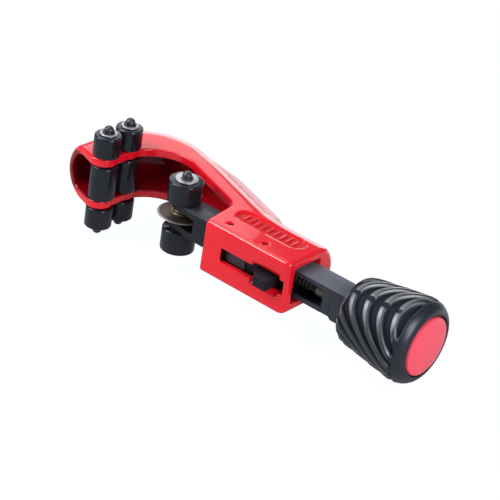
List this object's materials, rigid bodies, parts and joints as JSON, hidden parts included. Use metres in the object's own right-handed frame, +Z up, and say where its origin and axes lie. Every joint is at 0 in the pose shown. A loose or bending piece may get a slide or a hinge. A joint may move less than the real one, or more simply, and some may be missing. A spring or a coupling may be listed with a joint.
{
  "type": "tube cutter",
  "caption": "Hand tube cutter: hooked red frame with jaw rollers, sliding cutting wheel on a feed screw, quick-release thumb lever and ribbed knob.",
  "frame": {"origin": "midway between the two jaw axles, in the plane of the cutting wheel, on the feed screw's axis", "axes": "+X along the feed screw to the knob, +Y to the back of the hook, +Z up along the roller axles"},
  "size_m": [0.2292, 0.0709, 0.0624],
  "materials": {
    "frame_red": "gloss enamel on a casting",
    "roller_black": "glossy black oxide",
    "axle_dark": "dark oiled steel",
    "washer_steel": "bright zinc",
    "slide_black": "matt dark blue-grey",
    "wheel_steel": "ground tool steel",
    "screw_steel": "oiled steel",
    "spring_steel": "drawn wire",
    "knob_black": "semi-gloss moulded",
    "cap_red": "smooth moulded"
  },
  "bodies": {
    "frame": {"frame_casting": "frame_red", "near_jaw_axle": "axle_dark", "far_jaw_axle": "axle_dark", "jaw_washers": "washer_steel", "jaw_clips": "axle_dark", "lever_pivot_pin": "axle_dark", "lever_stop_pin": "axle_dark", "lever_spring": "spring_steel"},
    "slide": {"slide_bar": "slide_black", "screw_keeper": "slide_black", "wheel_axle": "axle_dark", "slide_washers": "washer_steel", "slide_clips": "axle_dark", "thrust_washer": "washer_steel"},
    "lever": {"release_lever": "slide_black"},
    "wheel": {"cutter_wheel": "wheel_steel"},
    "slide_top_roller": {"slide_top_roller": "roller_black"},
    "slide_bottom_roller": {"slide_bottom_roller": "roller_black"},
    "knob": {"feed_screw": "screw_steel", "knob": "knob_black", "bolt_washer": "washer_steel", "knob_bolt": "screw_steel"},
    "cap": {"knob_cap": "cap_red", "spare_wheel": "wheel_steel"},
    "near_top_roller": {"near_top_roller": "roller_black"},
    "near_middle_roller": {"near_middle_roller": "roller_black"},
    "near_bottom_roller": {"near_bottom_roller": "roller_black"},
    "far_top_roller": {"far_top_roller": "roller_black"},
    "far_middle_roller": {"far_middle_roller": "roller_black"},
    "far_bottom_roller": {"far_bottom_roller": "roller_black"}
  },
  "joints": [
    {"name": "slide_travel", "type": "slide", "parent": "frame", "child": "slide", "axis": [1, 0, 0], "range_m": [-0.0255, 0.016]},
    {"name": "knob_turn", "type": "hinge", "parent": "slide", "child": "knob", "pos_m": [0.1596, 0, 0], "axis": [1, 0, 0], "range_deg": [-4080.5, 2560.5]},
    {"name": "lever_press", "type": "hinge", "parent": "frame", "child": "lever", "pos_m": [0.109, -0.0099, 0], "axis": [0, 0, 1], "range_deg": [0, 6], "stiffness_Nm_per_rad": 0.1, "springref_deg": -17.19, "deforming": ["lever_spring"]},
    {"name": "wheel_spin", "type": "hinge", "parent": "slide", "child": "wheel", "pos_m": [0.048, 0, 0], "axis": [0, 0, 1], "continuous": true},
    {"name": "slide_top_roller_spin", "type": "hinge", "parent": "slide", "child": "slide_top_roller", "pos_m": [0.048, 0, 0], "axis": [0, 0, 1], "continuous": true},
    {"name": "slide_bottom_roller_spin", "type": "hinge", "parent": "slide", "child": "slide_bottom_roller", "pos_m": [0.048, 0, 0], "axis": [0, 0, 1], "continuous": true},
    {"name": "cap_pull", "type": "slide", "parent": "knob", "child": "cap", "axis": [1, 0, 0], "range_m": [0, 0.016]},
    {"name": "near_top_roller_spin", "type": "hinge", "parent": "frame", "child": "near_top_roller", "pos_m": [0, -0.008, 0], "axis": [0, 0, 1], "continuous": true},
    {"name": "near_middle_roller_spin", "type": "hinge", "parent": "frame", "child": "near_middle_roller", "pos_m": [0, -0.008, 0], "axis": [0, 0, 1], "continuous": true},
    {"name": "near_bottom_roller_spin", "type": "hinge", "parent": "frame", "child": "near_bottom_roller", "pos_m": [0, -0.008, 0], "axis": [0, 0, 1], "continuous": true},
    {"name": "far_top_roller_spin", "type": "hinge", "parent": "frame", "child": "far_top_roller", "pos_m": [0, 0.008, 0], "axis": [0, 0, 1], "continuous": true},
    {"name": "far_middle_roller_spin", "type": "hinge", "parent": "frame", "child": "far_middle_roller", "pos_m": [0, 0.008, 0], "axis": [0, 0, 1], "continuous": true},
    {"name": "far_bottom_roller_spin", "type": "hinge", "parent": "frame", "child": "far_bottom_roller", "pos_m": [0, 0.008, 0], "axis": [0, 0, 1], "continuous": true}
  ],
  "couplings": [
    {"joint": "knob_turn", "follows": "slide_travel", "rad_per_m": 2792.5}
  ]
}
